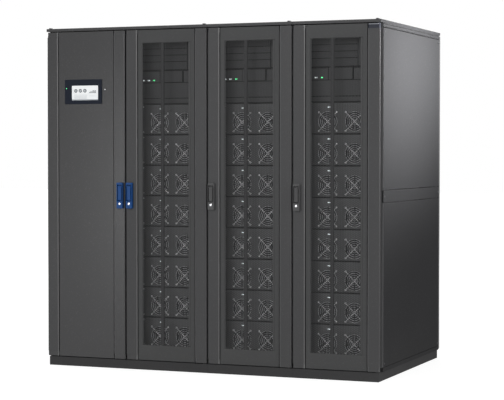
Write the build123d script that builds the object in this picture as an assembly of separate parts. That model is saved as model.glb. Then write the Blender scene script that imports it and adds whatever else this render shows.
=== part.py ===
# A row of four modular power cabinets, bolted side by side on plinths.
# Bay 1 is the control cabinet, with a plain door and a touch screen.
# Bays 2 to 4 each hold eight power modules behind a perforated door.
# X runs along the row, Y goes into the cabinets and Z is up. The origin is
# on the floor, under the centre of the box that holds the whole row.

import os
from build123d import *

MM = 1.0

# Row and bay
bay_count = 4
bay_width = 520 * MM
row_height = 2000 * MM
row_depth = 1200 * MM
bay_gap = 0.6 * MM
sheet_wall = 2 * MM
cut_overrun = 1 * MM

# Plinth
plinth_height = 52 * MM
plinth_front_inset = 6 * MM
plinth_end_inset = 12 * MM
plinth_wall = 4 * MM
plinth_flange = 45 * MM

# Base frame, posts, top frame and roof
base_frame_height = 23 * MM
post_width = 30 * MM
post_depth = 45 * MM
post_wall = 3 * MM
post_lip = 12 * MM
post_inset = 10 * MM
top_frame_height = 25 * MM
roof_height = 17 * MM
frame_setback = 12 * MM

# Doors
door_depth = 40 * MM
door_side_gap = 8 * MM
door_end_gap = 5 * MM
stile_width = 72 * MM
stile_edge_radius = 6 * MM
stile_lip_depth = 10 * MM
stile_side_inset = 12 * MM
end_cap_height = 28 * MM
end_cap_recess = 1 * MM
panel_recess = 6 * MM
panel_reveal = 4 * MM
panel_return = 22 * MM
mesh_side_border = 26 * MM
mesh_top_border = 74 * MM
mesh_bottom_border = 88 * MM
mesh_recess = 0.5 * MM
stiffener_width = 20 * MM
stiffener_depth = 12 * MM
stiffener_offset = 26 * MM

# Door pivots
pivot_edge_distance = 18 * MM
pivot_face_distance = 14 * MM
pivot_radius = 4 * MM
pivot_clearance = 0.3 * MM
pivot_reach = 12 * MM
pivot_head_radius = 12 * MM
pivot_head_height = 5 * MM
pivot_head_sides = 6
pivot_collar_radius = 8 * MM
pivot_collar_height = 3 * MM
bore_sides = 8

# Door handles
handle_width = 38 * MM
handle_height = 151 * MM
handle_proud = 18 * MM
handle_corner_radius = 5 * MM
handle_edge_distance = 26 * MM
handle_centre_height = 1016 * MM
handle_wall = 3 * MM
handle_clearance = 5 * MM
lever_pin_radius = 2.5 * MM
lever_end_margin = 18 * MM
lever_tip_depth = 6 * MM
lever_tip_chamfer = 2 * MM
lock_land = 42 * MM

# Touch screen on the door of bay 1
bezel_width = 243 * MM
bezel_height = 144 * MM
bezel_top_margin = 281 * MM
bezel_offset = -16 * MM
bezel_proud = 6 * MM
bezel_corner_radius = 4 * MM
screen_width = 172 * MM
screen_height = 86 * MM
screen_offset = 12 * MM
screen_drop = 7 * MM
screen_thickness = 2 * MM
screen_clearance = 0.3 * MM

# Side panels on the two ends of the row
side_panel_depth = 10 * MM
side_groove = 2 * MM
side_rail_height = 67 * MM
side_rail_centre_height = 1024 * MM

# Rear panels
rear_panel_depth = 24 * MM

# Power modules and what carries them
module_pitch = 178 * MM
module_height = 174 * MM
module_side_space = 5 * MM
module_length = 790 * MM
module_face_depth = 90 * MM
rack_ledge_width = 16 * MM
fan_spacing = 159 * MM
fan_drop = 19 * MM
pull_edge_distance = 26 * MM
pull_length = 100 * MM
pull_thickness = 8 * MM
pull_proud = 26 * MM

# Fan guards
guard_radius = 58 * MM
guard_ring_width = 4 * MM
guard_thickness = 3 * MM
guard_bar_width = 4 * MM
guard_sides = 8
guard_bar_count = 2

# Control unit above the modules
control_height = 370 * MM
control_top_space = 38 * MM
control_length = 420 * MM
control_groove_height = 6 * MM
control_groove_depth = 5 * MM
control_groove_drop = 170 * MM
display_plate_width = 142 * MM
display_plate_height = 63 * MM
display_plate_proud = 8 * MM
display_plate_drop = 179 * MM

# Levels worked out from the sizes above
row_width = bay_count * bay_width
front_y = -(row_depth - handle_proud) / 2
rear_y = front_y + row_depth
frame_front_y = front_y + door_depth + frame_setback
frame_rear_y = rear_y - rear_panel_depth
base_top = plinth_height + base_frame_height
roof_underside = row_height - roof_height
top_frame_underside = roof_underside - top_frame_height
door_bottom = plinth_height + door_end_gap
door_top = roof_underside - door_end_gap
door_height = door_top - door_bottom
door_width = bay_width - door_side_gap
panel_face_y = front_y + panel_recess
panel_width = door_width - 2 * stile_width
bezel_centre_height = door_top - bezel_top_margin - bezel_height / 2
module_face_y = front_y + module_face_depth
rack_outer_distance = bay_width / 2 - post_inset - post_width
module_width = 2 * (rack_outer_distance - sheet_wall - module_side_space)
control_top = top_frame_underside - control_top_space
control_bottom = control_top - control_height
module_count = int((control_bottom - base_top) / module_pitch)
power_bays = range(1, bay_count)


def block(x_low, x_high, y_low, y_high, z_low, z_high):
    """A plain box between two corners."""
    centre = Pos((x_low + x_high) / 2, (y_low + y_high) / 2, (z_low + z_high) / 2)
    return centre * Box(x_high - x_low, y_high - y_low, z_high - z_low)


def bay_centre(bay):
    return (bay + 0.5) * bay_width - row_width / 2


def hinge_side(bay):
    """Bay 1 opens to the left, the others to the right."""
    return -1 if bay == 0 else 1


def save(name, pieces):
    """Write the solids of one node to its own file."""
    solids = [solid for piece in pieces for solid in piece.solids()]
    shape = solids[0] if len(solids) == 1 else Compound(solids)
    export_step(shape, os.path.join("parts", name + ".step"))


def bay_ends(bay, end_inset):
    """Left and right faces of a bay, drawn in at the two ends of the row."""
    centre = bay_centre(bay)
    left = centre - bay_width / 2 + (end_inset if bay == 0 else bay_gap / 2)
    right = centre + bay_width / 2 - (end_inset if bay == bay_count - 1 else bay_gap / 2)
    return left, right


def plinth_frame(bay):
    """A channel frame, open below, with flanges that stand on the floor."""
    left, right = bay_ends(bay, plinth_end_inset)
    front = front_y + plinth_front_inset
    rear = rear_y - plinth_front_inset
    body = block(left, right, front, rear, 0, plinth_height)
    inside = block(
        left + plinth_wall, right - plinth_wall, front + plinth_wall, rear - plinth_wall,
        plinth_wall, plinth_height - plinth_wall,
    )
    mouth = block(
        left + plinth_flange, right - plinth_flange, front + plinth_flange, rear - plinth_flange,
        -cut_overrun, plinth_wall + cut_overrun,
    )
    return body - inside - mouth


def base_frame(bay):
    """A shallow tray that carries the posts."""
    left, right = bay_ends(bay, bay_gap / 2)
    body = block(left, right, frame_front_y, frame_rear_y, plinth_height, base_top)
    hollow = block(
        left + post_inset + post_width, right - post_inset - post_width,
        frame_front_y + post_depth, frame_rear_y - post_depth,
        plinth_height + sheet_wall, base_top + cut_overrun,
    )
    return body - hollow


def top_frame(bay):
    """The same tray upside down, on top of the posts."""
    left, right = bay_ends(bay, bay_gap / 2)
    body = block(left, right, frame_front_y, frame_rear_y, top_frame_underside, roof_underside)
    hollow = block(
        left + post_inset + post_width, right - post_inset - post_width,
        frame_front_y + post_depth, frame_rear_y - post_depth,
        top_frame_underside - cut_overrun, roof_underside - sheet_wall,
    )
    return body - hollow


def roof_cover(bay):
    """A folded cover that reaches forward over the door."""
    left, right = bay_ends(bay, bay_gap / 2)
    body = block(left, right, front_y, rear_y, roof_underside, row_height)
    body = fillet(body.edges().group_by(Axis.Z)[-1], sheet_wall)
    hollow = block(
        left + post_inset + post_width, right - post_inset - post_width,
        frame_front_y + post_depth, frame_rear_y - post_depth,
        roof_underside - cut_overrun, row_height - sheet_wall,
    )
    x, y = pivot_place(bay)
    bore_low = Pos(x, y, roof_underside - cut_overrun)
    return body - hollow - bore_low * pivot_bore(roof_height + 2 * cut_overrun)


def corner_post(x_side, y_side, bay):
    """One lipped channel post, open towards the inside of the cabinet."""
    outer_x = bay_centre(bay) + x_side * (bay_width / 2 - post_inset)
    inner_x = outer_x - x_side * post_width
    y_low = frame_front_y if y_side < 0 else frame_rear_y - post_depth
    y_high = y_low + post_depth
    x_low, x_high = min(outer_x, inner_x), max(outer_x, inner_x)
    body = block(x_low, x_high, y_low, y_high, base_top, top_frame_underside)
    channel = block(
        x_low + post_wall, x_high - post_wall, y_low + post_wall, y_high - post_wall,
        base_top - cut_overrun, top_frame_underside + cut_overrun,
    )
    slot_start = y_high - post_wall - cut_overrun if y_side < 0 else y_low - cut_overrun
    slot = block(
        x_low + post_lip, x_high - post_lip, slot_start, slot_start + post_wall + 2 * cut_overrun,
        base_top - cut_overrun, top_frame_underside + cut_overrun,
    )
    return body - channel - slot


def corner_posts():
    sides = (-1, 1)
    return [corner_post(x, y, bay) for bay in range(bay_count) for x in sides for y in sides]


def rear_panel(bay):
    """A folded panel that closes the back of one bay."""
    left, right = bay_ends(bay, bay_gap / 2)
    body = block(left, right, frame_rear_y, rear_y, door_bottom, door_top)
    hollow = block(
        left + post_inset + post_width, right - post_inset - post_width,
        frame_rear_y - cut_overrun, rear_y - sheet_wall,
        base_top, top_frame_underside,
    )
    return body - hollow


def side_pan(side, z_low, z_high):
    """A folded sheet on one end of the row, open towards the cabinet."""
    outer = side * row_width / 2
    inner = side * (row_width / 2 - side_panel_depth)
    skin = side * (row_width / 2 - sheet_wall)
    inside = inner - side * cut_overrun
    body = block(min(outer, inner), max(outer, inner), frame_front_y, frame_rear_y, z_low, z_high)
    hollow = block(
        min(skin, inside), max(skin, inside),
        frame_front_y + post_depth, frame_rear_y - post_depth,
        z_low + sheet_wall, z_high - sheet_wall,
    )
    return body - hollow


def side_panels(side):
    rail_low = side_rail_centre_height - side_rail_height / 2
    rail_high = side_rail_centre_height + side_rail_height / 2
    return [
        side_pan(side, base_top + side_groove, rail_low - side_groove),
        side_pan(side, rail_high + side_groove, top_frame_underside - side_groove),
    ]


def side_rail(side):
    rail_low = side_rail_centre_height - side_rail_height / 2
    rail_high = side_rail_centre_height + side_rail_height / 2
    return side_pan(side, rail_low, rail_high)


def pivot_place(bay):
    """Where the door of a bay turns, seen from above."""
    reach = door_width / 2 - pivot_edge_distance
    return bay_centre(bay) + hinge_side(bay) * reach, front_y + pivot_face_distance


def pivot_bore(depth):
    """A few-sided bore that a round pivot turns in, upwards from the origin."""
    outline = RegularPolygon(pivot_radius + pivot_clearance, bore_sides, major_radius=False)
    return extrude(outline, depth)


def pivot_stem(z_low, z_high):
    height = z_high - z_low
    return Pos(0, 0, z_low + height / 2) * Cylinder(pivot_radius, height)


def pivot_hexagon(z_low, radius, height):
    return Pos(0, 0, z_low) * extrude(RegularPolygon(radius, pivot_head_sides), height)


def hinge_pins(bay):
    """The two pins that a door hangs on, one in the roof and one in the plinth."""
    top = pivot_stem(door_top - pivot_reach, row_height)
    top += pivot_hexagon(row_height, pivot_head_radius, pivot_head_height)
    low = pivot_stem(plinth_height, door_bottom + pivot_reach)
    low += pivot_hexagon(plinth_height, pivot_collar_radius, pivot_collar_height)
    x, y = pivot_place(bay)
    return [Pos(x, y) * top, Pos(x, y) * low]


def stile_outline(side, face_depth, cut_edges):
    """Section of a door stile: a cap with its front edges cut and a narrower body behind it."""
    cap_depth = stile_lip_depth - face_depth
    cap = Pos(0, face_depth + cap_depth / 2) * Rectangle(stile_width, cap_depth)
    cap = cut_edges(cap.vertices().group_by(Axis.Y)[0], stile_edge_radius)
    body_width = stile_width - stile_side_inset
    body_place = Pos(-side * stile_side_inset / 2, (stile_lip_depth + door_depth) / 2)
    return cap + body_place * Rectangle(body_width, door_depth - stile_lip_depth)


def stile_centre(bay, side):
    return bay_centre(bay) + side * (door_width - stile_width) / 2


def door_stile(bay, side):
    """A folded profile with rounded front edges, between its two end caps."""
    place = Pos(stile_centre(bay, side), front_y, door_bottom + end_cap_height)
    return place * extrude(stile_outline(side, 0, fillet), door_height - 2 * end_cap_height)


def end_cap(bay, side, z_low):
    """A moulded cap that closes one end of a stile and holds the pivot's bore."""
    outline = stile_outline(side, end_cap_recess, chamfer)
    cap = Pos(stile_centre(bay, side), front_y, z_low) * extrude(outline, end_cap_height)
    if side == hinge_side(bay):
        x, y = pivot_place(bay)
        cap -= Pos(x, y, z_low - cut_overrun) * pivot_bore(end_cap_height + 2 * cut_overrun)
    return cap


def stiffener(bay):
    """The upright bar behind the perforated sheet."""
    centre = bay_centre(bay) - stiffener_offset
    y_low = panel_face_y + sheet_wall
    return block(
        centre - stiffener_width / 2, centre + stiffener_width / 2,
        y_low, y_low + stiffener_depth,
        door_bottom + sheet_wall, door_top - sheet_wall,
    )


def door_profiles(bay):
    pieces = []
    for side in (-1, 1):
        pieces.append(door_stile(bay, side))
        pieces.append(end_cap(bay, side, door_bottom))
        pieces.append(end_cap(bay, side, door_top - end_cap_height))
    if bay in power_bays:
        pieces.append(stiffener(bay))
    return pieces


def door_panel(bay):
    """A folded panel between the stiles, with a field for the perforation."""
    centre = bay_centre(bay)
    face_width = panel_width - 2 * panel_reveal
    rear = panel_face_y + panel_return
    face = block(
        centre - face_width / 2, centre + face_width / 2, panel_face_y, rear, door_bottom, door_top,
    )
    flange = block(
        centre - panel_width / 2, centre + panel_width / 2, rear - sheet_wall, rear,
        door_bottom, door_top,
    )
    hollow = block(
        centre - face_width / 2 + sheet_wall, centre + face_width / 2 - sheet_wall,
        panel_face_y + sheet_wall, rear + cut_overrun,
        door_bottom + sheet_wall, door_top - sheet_wall,
    )
    panel = face + flange - hollow
    if bay in power_bays:
        panel -= block(
            centre - face_width / 2 + mesh_side_border, centre + face_width / 2 - mesh_side_border,
            panel_face_y - cut_overrun, panel_face_y + mesh_recess,
            door_bottom + mesh_bottom_border, door_top - mesh_top_border,
        )
    return panel


def handle_centre(bay):
    """The handle is on the free stile, near its outer edge."""
    reach = door_width / 2 - handle_edge_distance
    return bay_centre(bay) - hinge_side(bay) * reach


def lever_pivot_height():
    return handle_centre_height + handle_height / 2 - lever_end_margin - handle_clearance


def lever_face_depth():
    """Depth of the lever, between its front face and the gap behind it."""
    return handle_proud - handle_wall - handle_clearance


def lever_tip_height():
    return handle_centre_height - handle_height / 2 + lock_land + handle_clearance


def cross_bar(bay, outline, length):
    """An outline drawn around the lever's axis and extruded across the handle."""
    pivot_y = front_y - handle_proud + lever_face_depth() / 2
    place = Pos(handle_centre(bay), pivot_y, lever_pivot_height()) * Rot(0, 90, 0)
    return place * extrude(outline, length / 2, both=True)


def handle_housing(bay):
    """A housing with a channel for the lever and a land for the lock."""
    x = handle_centre(bay)
    outline = Rectangle(handle_width, handle_height)
    outline = fillet(outline.vertices(), handle_corner_radius)
    upright = Pos(x, front_y, handle_centre_height) * Rot(90, 0, 0)
    body = upright * extrude(outline, handle_proud)
    half_channel = handle_width / 2 - handle_wall
    head_room = lever_face_depth() / 2 + handle_clearance
    body -= block(
        x - half_channel, x + half_channel,
        front_y - handle_proud - cut_overrun, front_y - handle_wall,
        lever_tip_height() - handle_clearance, lever_pivot_height() + head_room,
    )
    bore = RegularPolygon(lever_pin_radius + pivot_clearance, bore_sides, major_radius=False)
    return body - cross_bar(bay, bore, handle_width + 2 * cut_overrun)


def handle_lever(bay):
    """The lever: a bar that tapers to its tip, with a round head on its cross pin."""
    face = front_y - handle_proud
    depth = lever_face_depth()
    tip = lever_tip_height()
    side_view = Polygon(
        (face, lever_pivot_height()), (face + depth, lever_pivot_height()),
        (face + lever_tip_depth, tip), (face + lever_tip_chamfer, tip),
        (face, tip + lever_tip_chamfer),
        align=None,
    )
    lever_width = handle_width - 2 * handle_wall - 2 * handle_clearance
    bar = Pos(handle_centre(bay)) * extrude(Plane.YZ * side_view, lever_width / 2, both=True)
    head = cross_bar(bay, Circle(depth / 2), lever_width)
    pin_length = handle_width - 2 * pivot_clearance
    return bar + head + cross_bar(bay, RegularPolygon(lever_pin_radius, bore_sides), pin_length)


def screen_pocket(clearance):
    """Room for the glass, or the glass itself when the clearance is zero."""
    x = bay_centre(0) + bezel_offset + screen_offset
    z = bezel_centre_height - screen_drop
    half_width = screen_width / 2 + clearance
    half_height = screen_height / 2 + clearance
    face = panel_face_y - bezel_proud
    front = face - (cut_overrun if clearance else 0)
    return block(
        x - half_width, x + half_width, front, face + screen_thickness,
        z - half_height, z + half_height,
    )


def touch_screen_bezel():
    outline = Rectangle(bezel_width, bezel_height)
    outline = fillet(outline.vertices(), bezel_corner_radius)
    place = Pos(bay_centre(0) + bezel_offset, panel_face_y, bezel_centre_height) * Rot(90, 0, 0)
    return place * extrude(outline, bezel_proud) - screen_pocket(screen_clearance)


def shelf_height(row):
    """Top of the ledges that carry one row, counted from the bottom."""
    return control_bottom - (module_count - row) * module_pitch


def module_rack(bay, side):
    """An upright plate with a ledge under each module and the control unit."""
    outer = bay_centre(bay) + side * rack_outer_distance
    inner = outer - side * sheet_wall
    ledge_end = outer - side * rack_ledge_width
    y_low = module_face_y + sheet_wall
    y_high = module_face_y + module_length
    rack = block(min(outer, inner), max(outer, inner), y_low, y_high, base_top, control_top)
    for row in range(module_count + 1):
        shelf = shelf_height(row)
        rack += block(
            min(outer, ledge_end), max(outer, ledge_end), y_low, y_high, shelf - sheet_wall, shelf,
        )
    return rack


def module_racks():
    return [module_rack(bay, side) for bay in power_bays for side in (-1, 1)]


def pull_handle(x, z):
    """A square bow handle on the face of a module."""
    half = pull_thickness / 2
    grip_front = module_face_y - pull_proud
    outer = block(
        x - half, x + half, grip_front, module_face_y, z - pull_length / 2, z + pull_length / 2,
    )
    inner = block(
        x - pull_thickness, x + pull_thickness, grip_front + pull_thickness, module_face_y,
        z - pull_length / 2 + pull_thickness, z + pull_length / 2 - pull_thickness,
    )
    return outer - inner


def power_module(bay, row):
    x = bay_centre(bay)
    bottom = shelf_height(row)
    centre = bottom + module_height / 2
    body = block(
        x - module_width / 2, x + module_width / 2,
        module_face_y, module_face_y + module_length, bottom, bottom + module_height,
    )
    for side in (-1, 1):
        body += pull_handle(x + side * (module_width / 2 - pull_edge_distance), centre)
    return body


def power_modules(bay):
    return [power_module(bay, row) for row in range(module_count)]


def guard_outline():
    """A ring with slanted bars that cross in its middle."""
    outline = RegularPolygon(guard_radius, guard_sides)
    outline -= RegularPolygon(guard_radius - guard_ring_width, guard_sides)
    bar_length = 2 * guard_radius - guard_ring_width
    for bar in range(guard_bar_count):
        turn = Rot(0, 0, (bar + 0.5) * 180 / guard_bar_count)
        outline += turn * Rectangle(bar_length, guard_bar_width)
    return outline


def fan_guards(bay):
    """Two guards on each module, seated flat on its face."""
    guards = []
    shape = extrude(guard_outline(), guard_thickness)
    for row in range(module_count):
        z = shelf_height(row) + module_height / 2 - fan_drop
        for side in (-1, 1):
            place = Pos(bay_centre(bay) + side * fan_spacing / 2, module_face_y, z)
            guards.append(place * Rot(90, 0, 0) * shape)
    return guards


def control_unit(bay):
    """The bypass and display unit above the modules."""
    x = bay_centre(bay)
    body = block(
        x - module_width / 2, x + module_width / 2,
        module_face_y, module_face_y + control_length, control_bottom, control_top,
    )
    groove_top = control_top - control_groove_drop
    body -= block(
        x - module_width / 2 - cut_overrun, x + module_width / 2 + cut_overrun,
        module_face_y - cut_overrun, module_face_y + control_groove_depth,
        groove_top - control_groove_height, groove_top,
    )
    plate_top = control_top - display_plate_drop
    body += block(
        x - display_plate_width / 2, x + display_plate_width / 2,
        module_face_y - display_plate_proud, module_face_y,
        plate_top - display_plate_height, plate_top,
    )
    return body


def wiring_cover():
    """The plain cover behind the door of bay 1."""
    x = bay_centre(0)
    half = rack_outer_distance
    y_low = frame_front_y + post_depth / 2
    y_high = y_low + post_depth / 2
    body = block(x - half, x + half, y_low, y_high, base_top, top_frame_underside)
    hollow = block(
        x - half + sheet_wall, x + half - sheet_wall, y_low + sheet_wall, y_high + cut_overrun,
        base_top + sheet_wall, top_frame_underside - sheet_wall,
    )
    return body - hollow


os.makedirs("parts", exist_ok=True)
bays = range(bay_count)

save("plinth_frames", [plinth_frame(bay) for bay in bays])
save("base_frames", [base_frame(bay) for bay in bays])
save("corner_posts", corner_posts())
save("top_frames", [top_frame(bay) for bay in bays])
save("hinge_pins", [piece for bay in bays for piece in hinge_pins(bay)])
save("left_side_panels", side_panels(-1))
save("right_side_panels", side_panels(1))
save("side_rails", [side_rail(-1), side_rail(1)])
save("module_racks", module_racks())
save("wiring_cover", [wiring_cover()])
save("touch_screen_bezel", [touch_screen_bezel()])
save("touch_screen", [screen_pocket(0)])

for bay in bays:
    number = str(bay + 1)
    save("roof_cover_" + number, [roof_cover(bay)])
    save("rear_panel_" + number, [rear_panel(bay)])
    save("door_profiles_" + number, door_profiles(bay))
    save("door_panel_" + number, [door_panel(bay)])
    save("handle_housing_" + number, [handle_housing(bay)])
    save("handle_lever_" + number, [handle_lever(bay)])

for bay in power_bays:
    number = str(bay + 1)
    save("power_modules_" + number, power_modules(bay))
    save("fan_guards_" + number, fan_guards(bay))
    save("control_unit_" + number, [control_unit(bay)])
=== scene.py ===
import math

import bmesh
import bpy
from bpy.props import FloatProperty, FloatVectorProperty, IntProperty, PointerProperty
from mathutils import Matrix, Vector


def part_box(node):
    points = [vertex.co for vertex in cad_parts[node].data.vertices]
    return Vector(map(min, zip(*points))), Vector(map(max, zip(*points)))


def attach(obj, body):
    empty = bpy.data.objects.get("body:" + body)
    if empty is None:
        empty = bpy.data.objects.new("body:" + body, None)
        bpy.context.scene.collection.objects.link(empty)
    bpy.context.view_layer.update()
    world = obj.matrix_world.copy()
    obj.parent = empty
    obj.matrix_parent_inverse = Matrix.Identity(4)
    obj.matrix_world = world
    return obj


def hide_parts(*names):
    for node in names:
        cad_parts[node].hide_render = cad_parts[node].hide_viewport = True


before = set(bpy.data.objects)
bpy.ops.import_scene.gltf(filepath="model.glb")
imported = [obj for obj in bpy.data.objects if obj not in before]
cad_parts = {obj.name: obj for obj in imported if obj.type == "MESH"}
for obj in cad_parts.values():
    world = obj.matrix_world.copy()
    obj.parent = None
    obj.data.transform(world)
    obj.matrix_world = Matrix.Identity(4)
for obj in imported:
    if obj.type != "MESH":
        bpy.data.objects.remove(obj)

bl_info = {
    "name": "Modular power cabinet row",
    "version": (1, 0, 0),
    "blender": (4, 5, 0),
    "location": "3D View > Sidebar > Cabinets",
    "description": "Dresses a row of four power cabinets with doors, modules and fittings",
    "category": "Object",
}

MM = 0.001
all_bays = (1, 2, 3, 4)
first_bay, *power_bays = all_bays
last_bay = all_bays[-1]
toward_front = Vector((0, -1, 0))


def length(title, text, millimetres):
    """A length that is stated in millimetres and kept in metres."""
    return FloatProperty(
        name=title, description=text, default=millimetres * MM, min=0.0,
        unit="LENGTH", subtype="DISTANCE", precision=4,
    )


def place(title, metres):
    return FloatProperty(name=title, description="Camera place", default=metres, unit="LENGTH")


def angle(title, text, degrees):
    return FloatProperty(
        name=title, description=text, default=math.radians(degrees), unit="ROTATION",
    )


def count(title, text, number, least=1):
    return IntProperty(name=title, description=text, default=number, min=least)


def colour(title, text, red, green, blue):
    return FloatVectorProperty(
        name=title, description=text, default=(red, green, blue), size=3,
        min=0.0, max=1.0, subtype="COLOR",
    )


class CabinetColours(bpy.types.PropertyGroup):
    body: colour("Body", "Powder coat on doors, frames and roofs", 0.049, 0.049, 0.051)
    panel: colour("Plain door", "Satin coat on the door of bay 1", 0.033, 0.033, 0.035)
    # Painted highlight: this paler coat on the stiles' rounded inner edges makes the bright lines
    # along them
    edge: colour("Stile edge", "Thin coat on the stiles' rounded edges", 0.105, 0.105, 0.107)
    side: colour("Side", "Powder coat on the two ends of the row", 0.050, 0.050, 0.052)
    plinth: colour("Plinth", "Coat on the plinth", 0.075, 0.075, 0.077)
    perforated: colour("Perforated sheet", "Coat on the perforated doors", 0.050, 0.051, 0.052)
    module: colour("Module", "Painted faces of the power modules", 0.145, 0.146, 0.150)
    control: colour("Control unit", "Upper plates on the control units", 0.069, 0.070, 0.073)
    cover: colour("Control cover", "Lower plates on the control units", 0.090, 0.091, 0.094)
    # Painted shade: the face behind the control plates is dark so that the gaps between the plates
    # read as shaded lines
    recess_painted_shade: colour("Control recess", "Dark face behind the plates", 0.022, 0.022, 0.023)
    blue: colour("Blue handle", "Moulded handles of bays 1 and 2", 0.004, 0.066, 0.250)
    black: colour("Black handle", "Moulded handles of bays 3 and 4", 0.072, 0.072, 0.074)
    # Painted light: the shell is lighter than the black lever so that the shade in the recess round
    # the lever looks lighter
    shell: colour("Handle shell", "Grey moulding round the black levers", 0.092, 0.092, 0.094)
    bezel: colour("Bezel", "Moulded frame of the touch screen", 0.004, 0.008, 0.019)
    cap: colour("Cap", "Moulded cap on the last stile", 0.018, 0.021, 0.034)
    steel: colour("Steel", "Bright screws and locks", 0.86, 0.86, 0.88)
    wire: colour("Wire", "Plated wire of the fan guards", 0.84, 0.85, 0.87)
    # Painted light: the black plastic is lightened so that the shade in the deep fan openings looks
    # lighter
    fan: colour("Fan", "Moulded fans and pull handles", 0.085, 0.086, 0.090)
    # Painted shade: the bar behind the holes is darkened to blend with the shaded modules behind
    # it; the hinge pins share this coat
    bar: colour("Stiffener", "Coat on the bar behind the holes", 0.040, 0.040, 0.042)
    # Painted light: a pale coat on posts, folded front edges, roof undersides and stile lips, so
    # that the shade in the gaps and seams looks lighter
    post_painted_light: colour("Post", "Coat on the posts and edges behind the doors", 0.17, 0.17, 0.175)
    trim: colour("Trim", "Pale line across the cap", 0.30, 0.31, 0.34)
    # Painted shade: dark rubber lines and lips that make the shaded lines along the roof, the frame
    # and the ends of the row
    shade_line: colour("Seal", "Rubber between roof, frame and side panels", 0.012, 0.012, 0.013)
    rack: colour("Rack", "Plated racks and rods inside", 0.30, 0.31, 0.32)
    glass: colour("Glass", "Lit glass of the touch screen", 0.90, 0.92, 0.93)
    dark_reading: colour("Dark reading", "Dials and chart on the glass", 0.13, 0.14, 0.16)
    pale_reading: colour("Pale reading", "Lines on the glass", 0.56, 0.60, 0.63)
    white_light: colour("White light", "Lit indicator on a module", 0.85, 0.92, 0.95)
    green_light: colour("Green light", "Lit running indicator", 0.10, 0.80, 0.28)


class DoorSizes(bpy.types.PropertyGroup):
    hole_pitch: length("Hole pitch", "Distance between neighbouring holes", 11)
    hole_width: length("Hole width", "Width of a six-sided hole across its flats", 9.3)
    field_recess: length("Field recess", "How far the holes' sheet sits back", 0.5)
    sheet: length("Sheet", "Thickness of the folded border", 2)
    sheet_edge: length("Sheet edge", "Rounded edge on the folded border", 0.6)
    field_sheet: length("Perforated sheet", "Thickness of the perforated field", 1.4)
    side_border: length("Side border", "Plain strip beside the holes", 26)
    top_border: length("Top border", "Plain strip above the holes", 74)
    bottom_border: length("Bottom border", "Plain strip below the holes", 88)
    fold: length("Fold", "Depth of the folded sides", 22)
    reveal: length("Reveal", "Width of the rear flange past the face", 4)
    stile_edge: length("Stile edge", "Rounded edge on the stiles", 0.5)
    lip_depth: length("Lip depth", "Depth of the lips along the seams", 10)
    cap_height: length("Cap height", "Height of the cap on the last stile", 28)


class ModuleSizes(bpy.types.PropertyGroup):
    height: length("Height", "Height of one power module", 171.5)
    rows: count("Rows", "Modules in one bay", 8)
    front_step: length("Front step", "How far a front sits behind the control unit's box", 8)
    rim: length("Rim", "Rounded edge of a module's front", 1.5)
    fan_spacing: length("Fan spacing", "Distance between the two fans", 159)
    fan_drop: length("Fan drop", "How far the fans sit below the middle", 19)
    fan_frame: length("Fan frame", "Side of the square that a fan takes", 120)
    fan_radius: length("Fan radius", "Radius of the round opening", 57)
    fan_depth: length("Fan depth", "Depth of the round opening", 38)
    hub_radius: length("Hub radius", "Radius of the fan's hub", 21)
    blades: count("Blades", "Blades on one fan", 7, least=3)
    screw_spacing: length("Screw spacing", "Side of the square of fan screws", 105)
    screw_radius: length("Screw radius", "Radius of a small screw head", 6)
    screw_inset: length("Screw inset", "Corner screws' distance from top and foot", 12)
    wire_radius: length("Wire radius", "Radius of the guard's rings", 1.1)
    leg_radius: length("Leg radius", "Radius of the guard's crossing legs", 1.8)
    rings: count("Rings", "Rings in one fan guard", 5)
    pull_edge: length("Pull edge", "Pull handle's distance from the module's edge", 26)
    pull_length: length("Pull length", "Height of a pull handle", 100)
    pull_proud: length("Pull reach", "How far a pull handle stands out", 26)
    pull_radius: length("Pull radius", "Radius of the pull handle's bar", 4)
    pull_bend: length("Pull bend", "Radius of the pull handle's corners", 10)


class FittingSizes(bpy.types.PropertyGroup):
    edge: length("Edge", "Rounded edge on moulded parts", 1.2)
    fold_edge: length("Folded edge", "Rounded edge on folded sheet", 1.5)
    lock_radius: length("Lock radius", "Radius of the handle's lock", 7)
    lock_rise: length("Lock height", "Lock's height above the handle's lower end", 27)
    side_screw_inset: length("Side screw inset", "Plug's distance from the panel's edge", 20)
    screw_radius: length("Screw radius", "Radius of a panel screw head", 5)
    # Sizes of the dark rubber lines that paint shade along the top frame
    shade_line_height: length("Seal height", "Height of a rubber line", 5)
    shade_line_proud: length("Seal reach", "How far a rubber line stands out", 0.4)


class StageSizes(bpy.types.PropertyGroup):
    lens: FloatProperty(name="Lens", description="Focal length in mm", default=118.607, min=1.0)
    camera_x: place("Camera X", 3.8034)
    camera_y: place("Camera Y", -9.3037)
    camera_z: place("Camera Z", 1.2719)
    pitch: angle("Pitch", "Camera tilt", 88.334)
    yaw: angle("Yaw", "Camera turn", 22.03)
    sky: FloatProperty(name="Sky", description="Soft light from all round", default=0.20, min=0.0)
    floor: colour("Floor", "Plain pale floor", 0.24, 0.24, 0.24)
    floor_lift: FloatProperty(
        name="Floor lift", description="White that the floor shows by the object", default=0.88,
        min=0.0,
    )


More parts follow.
